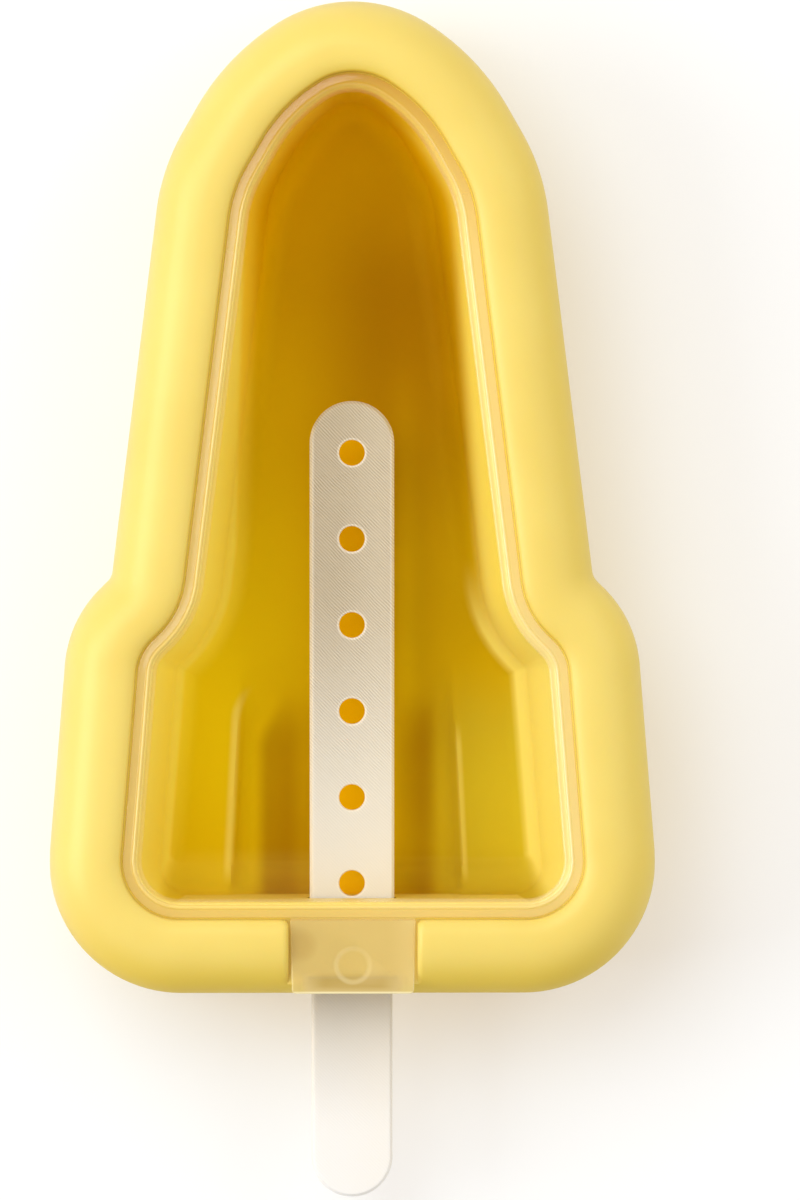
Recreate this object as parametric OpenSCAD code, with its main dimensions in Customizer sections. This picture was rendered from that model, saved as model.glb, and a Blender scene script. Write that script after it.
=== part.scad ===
// Ice pop mold in the shape of a rocket: a soft silicone tray, a clear lid and a flat stick.
// The nose points to +Y, the stick leaves at the front edge towards -Y, the cavity opens to +Z.
// The origin is the middle of the tray's footprint on the table. All sizes are in millimetres.

/* [Cavity mouth outline] */
// Width of the mouth between its front corners, before they are rounded
foot_w = 67.3; // [64:0.1:72]
// Width of the mouth where the fins end, before the corners are rounded
fin_w = 61.2; // [58:0.1:63]
// Distance from the front edge of the mouth to the end of the fins
fin_at = 38.4; // [34:0.1:42]
// Width of the rocket's body at its waist, behind the fins
waist_w = 49.2; // [46:0.1:51]
// Distance from the front edge of the mouth to the waist
waist_at = 44.3; // [43:0.1:47]
// Width of the body at its shoulder, where the nose cone begins
shoulder_w = 34.6; // [32:0.1:38]
// Distance from the front edge of the mouth to the shoulder
shoulder_at = 103.9; // [98:0.1:105]
// Width of the nose cone at its cheek, between shoulder and tip
cheek_w = 21; // [19:0.1:23]
// Distance from the front edge of the mouth to the cheek
cheek_at = 115.8; // [114:0.1:118]
// Distance from the front edge of the mouth to the unrounded tip of the nose
nose_at = 122.8; // [121:0.1:125]
// Corner radius of the mouth at its front corners
foot_r = 8.3; // [6:0.1:12]
// Corner radius of the mouth at the end of the fins
fin_r = 6.9; // [2:0.1:7.5]
// Radius of the hollow corner at the waist
waist_r = 12.6; // [11:0.1:13]
// Corner radius at the shoulder
shoulder_r = 20; // [10:0.5:24]
// Corner radius at the cheek
cheek_r = 24; // [10:0.5:24]
// Corner radius at the tip of the nose
nose_r = 9.8; // [6:0.1:9.9]

/* [Tray] */
// Height of the tray, from the table to the crown of its rim
tray_h = 30; // [27:0.5:36]
// Width of the rim, from the mouth to the outer skin
rim_w = 10.2; // [9:0.1:12]
// Distance from the mouth to the crown of the rim
crown_at = 3.2; // [2.6:0.1:4]
// Height over which the rim rolls down into the upright outer skin
roll_h = 8; // [5:0.1:10]
// Drop of the rim from its crown to the edge of the mouth
edge_drop = 0.9; // [0.4:0.1:1.2]
// Radius of the rim's edge round the mouth
edge_r = 0.8; // [0.4:0.1:0.9]
// Thickness of the silicone walls
wall_t = 2.4; // [1.6:0.1:2.6]
// Inward lean of the outer skin from the rim down to the table
skin_lean = 1.4; // [0:0.1:2.5]
// Depth of the rebate that takes the lid
rebate_h = 2.2; // [2:0.1:3]
// Width of the ledge at the bottom of the rebate
ledge_w = 2.4; // [2:0.1:3]

/* [Cavity] */
// Depth of the cavity below the ledge
cavity_h = 22; // [18:0.5:23]
// Inward lean of the cavity's side walls from the ledge to the floor
side_lean = 3; // [1.5:0.1:3.6]
// Inward lean of the cavity's front wall
front_lean = 1.2; // [0.6:0.1:2]
// Inward lean of the cavity's nose walls
nose_lean = 1.4; // [0.6:0.1:2]
// Radius between the walls and the floor of the cavity
floor_r = 2.2; // [1:0.1:2.4]
// Rise of the floor at the tip of the nose
nose_rise = 3.5; // [0:0.1:5]
// Length of the rising part of the floor, back from the tip
rise_len = 20; // [12:0.5:24]

/* [Arched pocket in the floor] */
// Width of the pocket at the floor, the deep middle part behind the stick
pocket_w = 31.6; // [26:0.1:34]
// Distance from the front edge of the mouth to the front end of the pocket
pocket_front = 5; // [4.6:0.1:8]
// Distance from the front edge of the mouth to the top of the arch
pocket_end = 33; // [28:0.1:36]
// Radius of the arch's shoulders
arch_r = 12; // [8:0.1:12.5]
// Depth of the pocket below the floor
pocket_h = 2.6; // [1:0.1:2.8]
// Inward lean of the pocket's sides
pocket_lean = 2.6; // [1:0.1:3]

/* [Lid] */
// Thickness of the lid's rim, where it lies on the ledge
flange_t = 1.6; // [1.4:0.1:2]
// Thickness of the clear panel
panel_t = 1.3; // [1:0.1:1.6]
// Drop of the panel below the lid's rim
panel_drop = 2; // [1.6:0.1:3]
// Lean of the step between the lid's rim and the panel
step_lean = 1.1; // [0.8:0.1:1.4]
// Distance from the mouth to the ridge that runs round the lid's rim
ridge_at = 1.5; // [1.3:0.1:1.6]
// Height of the ridge
ridge_h = 0.35; // [0.2:0.05:0.5]
// Width of the tab where it leaves the lid
tab_w = 17.7; // [15:0.1:20]
// Width of the tab at its free end
tab_end_w = 17.1; // [14.5:0.1:17.6]
// Thickness of the tab
tab_t = 1.3; // [1:0.1:1.3]
// Diameter of the shallow round dimple on the tab
dimple_d = 5.4; // [3:0.1:6]
// Depth of the dimple
dimple_h = 0.3; // [0.2:0.05:0.5]

/* [Stick] */
// Length of the stick
stick_len = 114; // [100:0.5:120]
// Length of the handle outside the tray
handle_len = 29.6; // [22:0.1:34]
// Width of the blade
blade_w = 12.1; // [10:0.1:13]
// Width of the handle
handle_w = 11.6; // [9.8:0.1:12]
// Thickness of the stick
stick_t = 2.2; // [1.8:0.1:2.6]
// Width of the bevel along the stick's edges
bevel = 0.5; // [0.2:0.05:0.7]
// Depth of the middle of the stick below the ledge
stick_depth = 11; // [8:0.5:13]
// Number of holes in the blade
hole_count = 6; // [3:1:6]
// Diameter of the holes
hole_d = 3.7; // [2.5:0.1:5]
// Distance from one hole to the next
hole_pitch = 12.3; // [10:0.1:12.6]
// Distance from the blade's tip to the middle of the first hole
first_hole = 7.6; // [6:0.1:10]

/* [Fits] */
// Gap all round between the lid and the tray
lid_gap = 0.3; // [0.2:0.05:0.5]
// Gap between the lid's rim and the ledge
seat_gap = 0.2; // [0.1:0.05:0.3]
// Gap on each side between the tab and its notch
notch_gap = 0.4; // [0.2:0.05:0.6]
// Gap all round between the stick and its slot
slot_gap = 0.3; // [0.2:0.05:0.4]
// Depth of the open recess in the outer skin in front of the slot
recess_len = 2.6; // [1.5:0.1:3]

/* [Hidden] */

// Right half of the mouth outline, from the front corner to the cheek: x, y, radius, steps of the arc
right_corners = [
    [foot_w / 2, 0, foot_r, 8],
    [fin_w / 2, fin_at, fin_r, 5],
    [waist_w / 2, waist_at, waist_r, 5],
    [shoulder_w / 2, shoulder_at, shoulder_r, 4],
    [cheek_w / 2, cheek_at, cheek_r, 4]
];
nose_corner = [0, nose_at, nose_r, 8];
mouth = concat(right_corners, [nose_corner], mirrored(right_corners));

// Lean of the cavity wall over each edge of the mouth, from the right fin round to the front edge
right_leans = [side_lean, side_lean, side_lean, (side_lean + nose_lean) / 2, nose_lean];
leans = concat(right_leans, [for (i = [len(right_leans) - 1 : -1 : 0]) right_leans[i]], [front_lean]);

// Place of the rounded tip of the nose and of the middle of the tray
half_tip_angle = atan2(nose_corner.y - cheek_at, cheek_w / 2);
tip_y = nose_at - nose_r * (1 / cos(half_tip_angle) - 1);
middle_y = tip_y / 2;

// Levels above the table
edge_z = tray_h - edge_drop;
ledge_z = edge_z - rebate_h;
floor_z = ledge_z - cavity_h;
stick_z = ledge_z - stick_depth;
slot_bottom = stick_z - stick_t / 2 - slot_gap;
slot_top = stick_z + stick_t / 2 + slot_gap;
notch_w = tab_w + 2 * notch_gap;
lid_bottom = ledge_z + seat_gap;
lid_top = lid_bottom + flange_t;

// The tab's upper face lies a little below the lid's rim, and its edges are eased as much
ease = 0.2;
tab_top = lid_top - ease;

// Small roundings shared by the edges of the tray and the lid
soft_r = 0.5;
foot_edge_r = 0.8;
least_r = 0.4;

// How far a cutter reaches past what it cuts
past = 1;

// Corners of the left half, from those of the right half in mirrored order
function mirrored(corners) = [
    for (i = [len(corners) - 1 : -1 : 0]) [-corners[i].x, corners[i].y, corners[i][2], corners[i][3]]
];

// Outward unit normal of the edge that leaves corner i of a loop drawn anticlockwise
function edge_normal(corners, i) =
    let (a = corners[i], b = corners[(i + 1) % len(corners)])
    let (run = [b.x - a.x, b.y - a.y])
    [run.y, -run.x] / norm(run);

// Rounded loop whose edge i is moved outward by move[i]; radii grow and shrink with the move
function rounded_loop(corners, move) =
    let (n = len(corners))
    [for (i = [0 : n - 1])
        let (before = (i + n - 1) % n)
        let (n1 = edge_normal(corners, before), n2 = edge_normal(corners, i))
        let (p = [corners[i].x, corners[i].y])
        let (c1 = n1 * p + move[before], c2 = n2 * p + move[i])
        let (turn = cross(n1, n2), side = sign(turn))
        let (corner = [c1 * n2.y - c2 * n1.y, c2 * n1.x - c1 * n2.x] / turn)
        let (r = max(least_r, corners[i][2] + side * (move[before] + move[i]) / 2))
        let (centre = corner - side * r * (n1 + n2) / (1 + n1 * n2))
        let (from = atan2(n1.y, n1.x), sweep = atan2(turn, n1 * n2), steps = corners[i][3])
        for (s = [0 : steps])
            let (a = from + sweep * s / steps)
            centre + side * r * [cos(a), sin(a)]
    ];

// The same move for every edge of a loop
function even_move(corners, d) = [for (c = corners) d];

// Level loop at height z
function level(loop, z) = [for (p = loop) [p.x, p.y, z]];

// Loop of the mouth moved outward by d, less the share f of each wall's lean
function mouth_loop(d, f) = rounded_loop(mouth, [for (lean = leans) d - f * lean]);

// Rise of the cavity floor at the distance y from the front edge of the mouth
function rise(y) =
    let (s = min(1, max(0, (y - tip_y + rise_len) / rise_len)))
    nose_rise * s * s * (3 - 2 * s);

// Points of a quarter ellipse round c, from the angle a to the angle b
function quarter(c, rx, ry, a, b, steps) =
    [for (s = [0 : steps]) let (t = a + (b - a) * s / steps) c + [rx * cos(t), ry * sin(t)]];

// Closed body through loops of equal length; the first loop is closed below, the last one above
module skin(loops) {
    n = len(loops[0]);
    last = (len(loops) - 1) * n;
    sides = [
        for (k = [0 : len(loops) - 2]) for (i = [0 : n - 1])
            let (a = k * n + i, b = k * n + (i + 1) % n)
            each [[a, a + n, b + n], [a, b + n, b]]
    ];
    // Each end is a ladder of faces between mirrored points
    rungs = [
        for (i = [0 : floor(n / 2) - 1]) if (i + 1 < n - 1 - i)
            i + 1 < n - 2 - i ? [i, i + 1, n - 2 - i, n - 1 - i] : [i, i + 1, n - 1 - i]
    ];
    top = [for (f = rungs) [for (j = [len(f) - 1 : -1 : 0]) f[j] + last]];
    polyhedron(points = [for (loop = loops) each loop], faces = concat(sides, rungs, top), convexity = 8);
}

// Tray without its notch, slot and pocket, as loops from the middle of the base to the cavity floor
module tray_shell() {
    base_r = floor_r + wall_t / 2;
    basin = wall_t - ledge_w;
    under_z = ledge_z - wall_t;
    skin_foot = rim_w - skin_lean;
    // Outer wall of the basin, from its base up to the bottom of the ledge
    base_loops = [
        for (q = quarter([basin - base_r, base_r], base_r, base_r, -90, 0, 3))
            level(mouth_loop(q.x, 1), q.y)
    ];
    basin_loops = [level(mouth_loop(basin, 0), under_z)];
    // Hollow side of the rim and the outer skin, down to the foot
    hollow_loops = [
        for (q = concat(
            [[wall_t, ledge_z - wall_t / 2]],
            quarter([crown_at, tray_h - roll_h], rim_w - crown_at - wall_t, roll_h - wall_t, 90, 0, 5),
            [[skin_foot - wall_t, 0]]
        )) level(mouth_loop(q.x, 0), q.y)
    ];
    // Foot, outer skin and rolled rim, up to the crown and down to the edge of the mouth
    outer_loops = [
        for (q = concat(
            quarter([skin_foot - foot_edge_r, foot_edge_r], foot_edge_r, foot_edge_r, -90, 0, 3),
            quarter([crown_at, tray_h - roll_h], rim_w - crown_at, roll_h, 0, 90, 8),
            [[(crown_at + edge_r) / 2, edge_z + edge_drop * 0.75]],
            quarter([edge_r, edge_z - edge_r], edge_r, edge_r, 90, 180, 3),
            [[0, ledge_z]],
            quarter([-ledge_w + soft_r, ledge_z - soft_r], soft_r, soft_r, 90, 180, 2)
        )) level(mouth_loop(q.x, 0), q.y)
    ];
    // Fillet at the bottom of the cavity wall, which follows the rising nose
    fillet_loops = [
        for (q = quarter([-ledge_w - floor_r, floor_z + floor_r], floor_r, floor_r, 0, -90, 4))
            [for (p = mouth_loop(q.x, 1)) [p.x, p.y, q.y + rise(p.y)]]
    ];
    skin(concat(base_loops, basin_loops, hollow_loops, outer_loops, fillet_loops));
}

// Solid block under the notch that carries the stick's slot from the outer skin to the basin
module slot_block() {
    half = wall_t / 2;
    profile = concat(
        [[half, slot_bottom - wall_t], [half, ledge_z - soft_r], [-half, ledge_z - soft_r]],
        [for (q = quarter([crown_at, tray_h - roll_h], rim_w - crown_at - half, roll_h - half, 90, 0, 8))
            [-q.x, q.y]],
        [[half - rim_w, slot_bottom - wall_t]]
    );
    across = notch_w / 2 + wall_t;
    rotate([90, 0, -90]) translate([0, 0, -across])
        linear_extrude(2 * across) polygon([for (p = profile) [-p.x, p.y]]);
}

// Cutter for the notch in which the lid's tab lies, with softly rounded upper edges
module notch_cutter() {
    flare = 1;
    half = notch_w / 2;
    top = tray_h + past;
    right_side = concat(
        [[half, ledge_z]],
        quarter([half + flare, tray_h - flare], flare, flare, 180, 90, 4),
        [[half + flare, top]]
    );
    left_side = [for (i = [len(right_side) - 1 : -1 : 0]) [-right_side[i].x, right_side[i].y]];
    translate([0, soft_r, 0]) rotate([90, 0, 0])
        linear_extrude(rim_w + past) polygon(concat(right_side, left_side));
}

// Cutter for the stick's slot through the block and for the recess in front of it
module slot_cutter() {
    slot_w = blade_w + 2 * slot_gap;
    reach = ledge_w + front_lean + floor_r;
    translate([-slot_w / 2, -rim_w - past, slot_bottom])
        cube([slot_w, rim_w + past + reach, slot_top - slot_bottom]);
    translate([-slot_w / 2, -rim_w - past, slot_bottom])
        cube([slot_w, recess_len + past, tray_h - slot_bottom]);
}

// Cutter for the arched pocket, with a rounded bottom edge and a soft edge at the floor
module pocket_cutter() {
    corners = [
        [pocket_w / 2, pocket_front, arch_r / 3, 4],
        [pocket_w / 2, pocket_end, arch_r, 8]
    ];
    loop = concat(corners, mirrored(corners));
    bottom_r = 1;
    lip = 0.35;
    section = concat(
        quarter([-pocket_lean - bottom_r, floor_z - pocket_h + bottom_r], bottom_r, bottom_r, -90, 0, 3),
        [[-lip, floor_z - lip], [0, floor_z - lip / 3], [lip, floor_z + lip / 9], [lip, floor_z + floor_r]]
    );
    skin([for (q = section) level(rounded_loop(loop, even_move(loop, q.x)), q.y)]);
}

// Soft tray: rim, rebate, cavity, basin and outer skin in one moulding
module tray() {
    color("#f6d96b")
        translate([0, -middle_y, 0])
            difference() {
                union() {
                    tray_shell();
                    slot_block();
                }
                notch_cutter();
                slot_cutter();
                pocket_cutter();
            }
}

// Lid: a rim that lies on the ledge, a ridge round it, and a clear panel one step lower
module lid_plate() {
    panel_top = lid_top - panel_drop;
    ridge_half = 0.45;
    plug_at = ledge_w + lid_gap;
    section = concat(
        [[-plug_at - step_lean - soft_r, panel_top - panel_t]],
        [[-plug_at - step_lean / 2, panel_top - panel_t + soft_r / 2]],
        [[-plug_at, lid_bottom - soft_r], [-plug_at, lid_bottom]],
        [[-lid_gap - soft_r / 2, lid_bottom], [-lid_gap, lid_bottom + soft_r / 2]],
        quarter([-lid_gap - soft_r, lid_top - soft_r], soft_r, soft_r, 0, 90, 3),
        [[-ridge_at + ridge_half, lid_top], [-ridge_at, lid_top + ridge_h]],
        [[-ridge_at - ridge_half, lid_top]],
        quarter([-plug_at, lid_top - soft_r], soft_r, soft_r, 90, 150, 2),
        [[-plug_at - step_lean, panel_top + soft_r / 2], [-plug_at - step_lean - soft_r, panel_top]]
    );
    skin([for (q = section) level(mouth_loop(q.x, 0), q.y)]);
}

// Finger tab that fills the notch and ends flush with the outer skin
module tab() {
    overlap = ledge_w / 2;
    tab_bottom = tab_top - tab_t;
    corners = [
        [tab_end_w / 2, -rim_w, 1.2, 4],
        [tab_w / 2, overlap, 0.6, 1]
    ];
    loop = concat(corners, mirrored(corners));
    section = [[-ease, tab_bottom], [0, tab_bottom + ease], [0, tab_top - ease], [-ease, tab_top]];
    skin([for (q = section) level(rounded_loop(loop, even_move(loop, q.x)), q.y)]);
}

// Clear lid with its frosted tab, one moulding
module lid() {
    dimple_y = -rim_w * 0.63;
    color("#eee9d4")
        translate([0, -middle_y, 0])
            difference() {
                union() {
                    lid_plate();
                    tab();
                }
                translate([0, dimple_y, tab_top - dimple_h])
                    cylinder(d = dimple_d, h = dimple_h + past, $fn = 48);
            }
}

// Flat stick: a wider pierced blade, round at both ends, and a plain handle
module stick() {
    tail_y = -rim_w - handle_len;
    tip = tail_y + stick_len;
    narrow_y = -rim_w + recess_len;
    corners = [
        [handle_w / 2, tail_y, handle_w / 2 - 0.05, 10],
        [handle_w / 2, narrow_y, 1, 2],
        [blade_w / 2, narrow_y + 1, 1, 2],
        [blade_w / 2, tip, blade_w / 2 - 0.05, 10]
    ];
    loop = concat(corners, mirrored(corners));
    half = stick_t / 2;
    section = [[-bevel, -half], [0, bevel - half], [0, half - bevel], [-bevel, half]];
    color("#f1ead9")
        translate([0, -middle_y, stick_z])
            difference() {
                skin([for (q = section) level(rounded_loop(loop, even_move(loop, q.x)), q.y)]);
                for (i = [0 : hole_count - 1])
                    translate([0, tip - first_hole - i * hole_pitch, -stick_t])
                        cylinder(d = hole_d, h = 2 * stick_t, $fn = 48);
            }
}

tray();
lid();
stick();
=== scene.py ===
# %% [markdown]
# # A rocket-shaped ice pop mold
#
# The real object is three mouldings: a soft yellow silicone tray, a clear plastic lid with a
# frosted finger tab, and a flat pierced stick that leaves through a slot in the front. The CAD frame,
# which is loaded first, fixes every size and place, so the pieces below are finer skins over the
# same forms, worked out from the same few measures.

# %% Load the frame
import bpy
import bmesh
import numpy as np
from mathutils import Matrix, Vector


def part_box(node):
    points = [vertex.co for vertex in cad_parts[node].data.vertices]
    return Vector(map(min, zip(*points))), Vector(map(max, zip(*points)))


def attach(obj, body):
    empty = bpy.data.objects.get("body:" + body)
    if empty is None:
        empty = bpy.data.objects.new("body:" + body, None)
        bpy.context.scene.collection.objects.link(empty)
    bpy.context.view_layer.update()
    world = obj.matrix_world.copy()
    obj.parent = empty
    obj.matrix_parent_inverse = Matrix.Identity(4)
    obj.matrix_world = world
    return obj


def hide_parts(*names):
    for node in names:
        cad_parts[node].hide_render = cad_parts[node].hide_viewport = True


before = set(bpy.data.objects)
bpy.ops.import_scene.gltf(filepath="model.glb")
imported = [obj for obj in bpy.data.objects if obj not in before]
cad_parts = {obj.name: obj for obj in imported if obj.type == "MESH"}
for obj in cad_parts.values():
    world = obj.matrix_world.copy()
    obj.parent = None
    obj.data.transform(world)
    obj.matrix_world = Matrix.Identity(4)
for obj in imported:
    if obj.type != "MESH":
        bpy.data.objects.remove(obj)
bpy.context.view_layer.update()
scene = bpy.context.scene

# %% [markdown]
# ## The view
#
# The photograph looks almost straight down through a long lens. It shows a bit more of the hollow's
# right wall than of its left one, so the camera stands a little to the left. The picture is upright,
# 800 by 1200, and the tray fills it from top to bottom with the stick running out below. A real
# distance of over a metre keeps the lines as parallel as they are in the photograph.

# %% Camera
MM = 0.001
PICTURE = (800, 1200)
PIXELS_PER_MM = 7.03
CENTRE_LINE_X = 352.6        # picture column of the tray's middle line
FRONT_EDGE_Y = 994.0         # picture row of the tray's front skin
RIM_LEVEL = 24 * MM          # height at which the outline is widest


def add_object(data):
    """An object at the origin that shows a mesh, a lamp or a camera."""
    made = bpy.data.objects.new(data.name, data)
    bpy.context.collection.objects.link(made)
    return made


def add_camera(distance, lean_x, lean_y):
    """A long lens above the tray, aimed so that the tray's middle line and its front edge land on
    their picture column and row. It stands lean_x and lean_y times the distance beside the origin."""
    front_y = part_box("tray")[0][1]
    aim = Vector(((PICTURE[0] / 2 - CENTRE_LINE_X) / PIXELS_PER_MM * MM,
                  front_y + (FRONT_EDGE_Y - PICTURE[1] / 2) / PIXELS_PER_MM * MM,
                  RIM_LEVEL))
    data = bpy.data.cameras.new("camera")
    data.sensor_fit = "VERTICAL"
    data.sensor_height = 36
    data.lens = data.sensor_height * (distance - RIM_LEVEL) / (PICTURE[1] / PIXELS_PER_MM * MM)
    data.clip_start = 0.05
    camera = add_object(data)
    camera.location = (lean_x * distance, lean_y * distance, distance)
    # Its back looks away from the aim, and the picture's upward direction stays the tray's +Y
    back = (camera.location - aim).normalized()
    right = Vector((0, 1, 0)).cross(back).normalized()
    camera.rotation_euler = Matrix((right, back.cross(right), back)).transposed().to_euler()
    scene.camera = camera
    print("camera: lens", round(data.lens), "mm, aimed at", [round(v, 4) for v in aim])


add_camera(distance=1.2, lean_x=-0.012, lean_y=0.004)

# %% [markdown]
# ## One outline for everything
#
# Tray and lid share one outline, the mouth of the cavity: a rocket drawn with eleven corners, each
# rounded by its own radius. Every other line on the object runs parallel to it. A parallel line of a
# rounded corner is an arc about the same centre with a longer or shorter radius, so it is enough to
# move the straight edges and to let the radii follow. The hollow corners at the waist work the other
# way round: their radius shrinks as the line moves out.

# %% Outline of the mouth
# Corners: x, y, radius, points in the arc
FRONT_TO_CHEEK = [
    [33.65, 0.55, 8.3, 26],
    [30.60, 38.4, 6.9, 18],
    [24.60, 44.3, 12.6, 18],
    [17.30, 103.9, 20.0, 14],
    [10.50, 115.8, 24.0, 14],
]
NOSE = np.array([[0.0, 122.8, 9.8, 31]])
LEAST_RADIUS = 0.35


def both_sides(right, middle=np.empty((0, 4))):
    """The corners of the right side, those on the middle line, and the right ones mirrored."""
    return np.vstack([right, middle, np.array(right)[::-1] * [-1, 1, 1, 1]])


CORNERS = both_sides(FRONT_TO_CHEEK, NOSE)

# Points laid along each straight stretch between two corners
ALONG = [80, 12, 60, 8, 5, 5, 8, 60, 12, 80]

# The nose's arc passes below its corner, by more the steeper the two edges climb
across, climb = np.abs(NOSE[0, :2] - FRONT_TO_CHEEK[-1][:2])
FRONT_TO_NOSE_TIP = NOSE[0, 1] - NOSE[0, 2] * (np.hypot(across, climb) / across - 1)
# The tray's middle is the origin, and the mouth's front edge lies this far from it
MIDDLE = FRONT_TO_NOSE_TIP / 2
print("mouth:", round(FRONT_TO_NOSE_TIP, 2), "mm from front edge to nose")


def rounded_sides(corners, along, move):
    """Points of a rounded loop, from the first corner's arc to the last one's, front edge left out.
    Edge i is pushed out by move[i]; each corner becomes the crossing of its two pushed edges, and an
    arc of the grown (or, at a hollow corner, shrunk) radius is laid tangent to both. Where two arcs
    would overlap on an edge, both radii shrink until they fit."""
    run = np.roll(corners[:, :2], -1, 0) - corners[:, :2]
    run /= np.linalg.norm(run, axis=1, keepdims=True)
    normal = np.column_stack([run[:, 1], -run[:, 0]])       # outwards: a quarter turn clockwise
    before = np.roll(normal, 1, 0)
    reach = (corners[:, :2] * normal).sum(1) + move
    reach_before = (corners[:, :2] * before).sum(1) + np.roll(move, 1)
    turn = before[:, 0] * normal[:, 1] - before[:, 1] * normal[:, 0]
    crossing = np.column_stack([reach_before * normal[:, 1] - reach * before[:, 1],
                                reach * before[:, 0] - reach_before * normal[:, 0]]) / turn[:, None]
    side = np.sign(turn)
    radius = np.maximum(LEAST_RADIUS, corners[:, 2] + side * (move + np.roll(move, 1)) / 2)
    alike = (before * normal).sum(1)
    along_bisector = (before + normal) / (1 + alike)[:, None]
    start = np.arctan2(before[:, 1], before[:, 0])
    sweep = np.arctan2(turn, alike)
    taken = radius * np.tan(np.abs(sweep) / 2)
    length = np.linalg.norm(np.roll(crossing, -1, 0) - crossing, axis=1)
    fit = np.minimum(1, length / (taken + np.roll(taken, -1)))
    radius = radius * np.minimum(fit, np.roll(fit, 1))
    centre = crossing - (side * radius)[:, None] * along_bisector
    parts = []
    for i, count in enumerate(corners[:, 3].astype(int)):
        angle = start[i] + sweep[i] * np.linspace(0, 1, count)
        arc = centre[i] + side[i] * radius[i] * np.column_stack([np.cos(angle), np.sin(angle)])
        if parts:
            share = np.linspace(0, 1, along[i - 1] + 2)[1:-1, None]
            parts.append(parts[-1][-1] * (1 - share) + arc[0] * share)
        parts.append(arc)
    return np.vstack(parts)


# %% [markdown]
# ## Walls that lean by different amounts
#
# A silicone cavity is narrower at the floor, so that the pop comes out. On this tray the long sides
# lean the most and the front and nose walls stand steeper. So each edge of the outline has its own
# lean, and a line that lies the share f of the way down moves inwards by f times that lean.

# %% Lines parallel to the mouth
SIDE_LEAN, NOSE_LEAN, FRONT_LEAN = 3.0, 1.4, 0.2
RIM_WIDTH = 10.2
FRONT_GROWTH = (RIM_WIDTH + CORNERS[0, 1]) / RIM_WIDTH
HALF_LEANS = [SIDE_LEAN, SIDE_LEAN, SIDE_LEAN, (SIDE_LEAN + NOSE_LEAN) / 2, NOSE_LEAN]
LEANS = np.array(HALF_LEANS + HALF_LEANS[::-1] + [FRONT_LEAN])

# The front edge is filled with columns that crowd where the notch and the tab have their edges
NOTCH_HALF, NOTCH_ROUND, NOTCH_CORNER = 9.15, 0.9, 0.9
FLAT_COLUMNS, WALL_COLUMNS, LIP_COLUMNS, OUTER_COLUMNS = 13, 5, 8, 28


def front_columns(half_width):
    """x of the points along the front edge, from left to right, and for each the share of the
    notch's quarter-round lip (0 to 1) and of its upright wall (0 to 1) that is passed there."""
    middle = np.linspace(0, NOTCH_HALF, FLAT_COLUMNS + 1)[:-1]
    wall = np.full(WALL_COLUMNS, NOTCH_HALF)
    lip = NOTCH_HALF + NOTCH_ROUND * (1 - np.cos(np.linspace(0, np.pi / 2, LIP_COLUMNS + 1)[1:]))
    outer = np.linspace(NOTCH_HALF + NOTCH_ROUND, half_width, OUTER_COLUMNS + 2)[1:-1]
    x = np.concatenate([middle, wall, lip, outer])
    lip_share = np.clip(1 - (x - NOTCH_HALF) / NOTCH_ROUND, 0, 1)
    wall_share = np.concatenate([np.ones(FLAT_COLUMNS), np.linspace(1, 0, WALL_COLUMNS),
                                 np.zeros(LIP_COLUMNS + OUTER_COLUMNS)])
    right = np.stack([x, lip_share, wall_share])
    return np.hstack([right[:, :0:-1] * [[-1], [1], [1]], right])


def level(line, value):
    """A line's points with one more coordinate, which is the same for all of them."""
    return np.column_stack([line, np.full(len(line), value)])


def mouth_line(out, share=0.0):
    """One closed line round the object: the mouth's outline pushed out by out, less the share of
    each wall's lean. The right side comes first, then the left, then the front edge, which is pushed
    out by a little more, because the rim is wider there."""
    move = out - share * LEANS
    move[-1] *= FRONT_GROWTH if out > 0 else 1
    sides = rounded_sides(CORNERS, ALONG, move)
    return np.vstack([sides, level(front_columns(sides[0, 0])[0], sides[0, 1])])


LINE_POINTS = len(mouth_line(0.0))
SIDE_POINTS = LINE_POINTS - len(front_columns(CORNERS[0, 0])[0])
print("points in one line:", LINE_POINTS, "of which at the sides:", SIDE_POINTS)

# %% [markdown]
# ## From rows of points to a mesh
#
# Every piece here is a stack of closed lines. Two neighbouring lines are joined by a band of
# four-sided faces, and the first and last line are closed by faces that run straight across. The
# whole index table is worked out at once as an array, which is both short and fast.

# %% Mesh helpers
def quarter(centre, radii, turn, steps, share=0.0):
    """Rows (out, share, height) along a stretch of an ellipse, or of a circle with one radius: centre
    plus radii times the cosine and sine of an angle that runs through turn, in degrees."""
    across, up = np.broadcast_to(radii, 2)
    angle = np.radians(np.linspace(*turn, steps + 1))
    return np.column_stack([centre[0] + across * np.cos(angle), np.full(steps + 1, share),
                            centre[1] + up * np.sin(angle)])


def straight(start, end, steps):
    """Rows at even shares of the way from one row to another, both ends left out."""
    share = np.linspace(0, 1, steps + 1)[1:-1, None]
    return np.array(start) * (1 - share) + np.array(end) * share


def quads(table):
    """Four-sided faces between the neighbouring rows and columns of a table of point numbers."""
    return np.stack([table[:-1, :-1], table[:-1, 1:], table[1:, 1:], table[1:, :-1]], -1).reshape(-1, 4)


def bands(rows, points):
    """Faces between each closed line of points and the next one."""
    table = np.arange(rows * points).reshape(rows, points)
    return quads(np.column_stack([table, table[:, 0]]))


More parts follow.
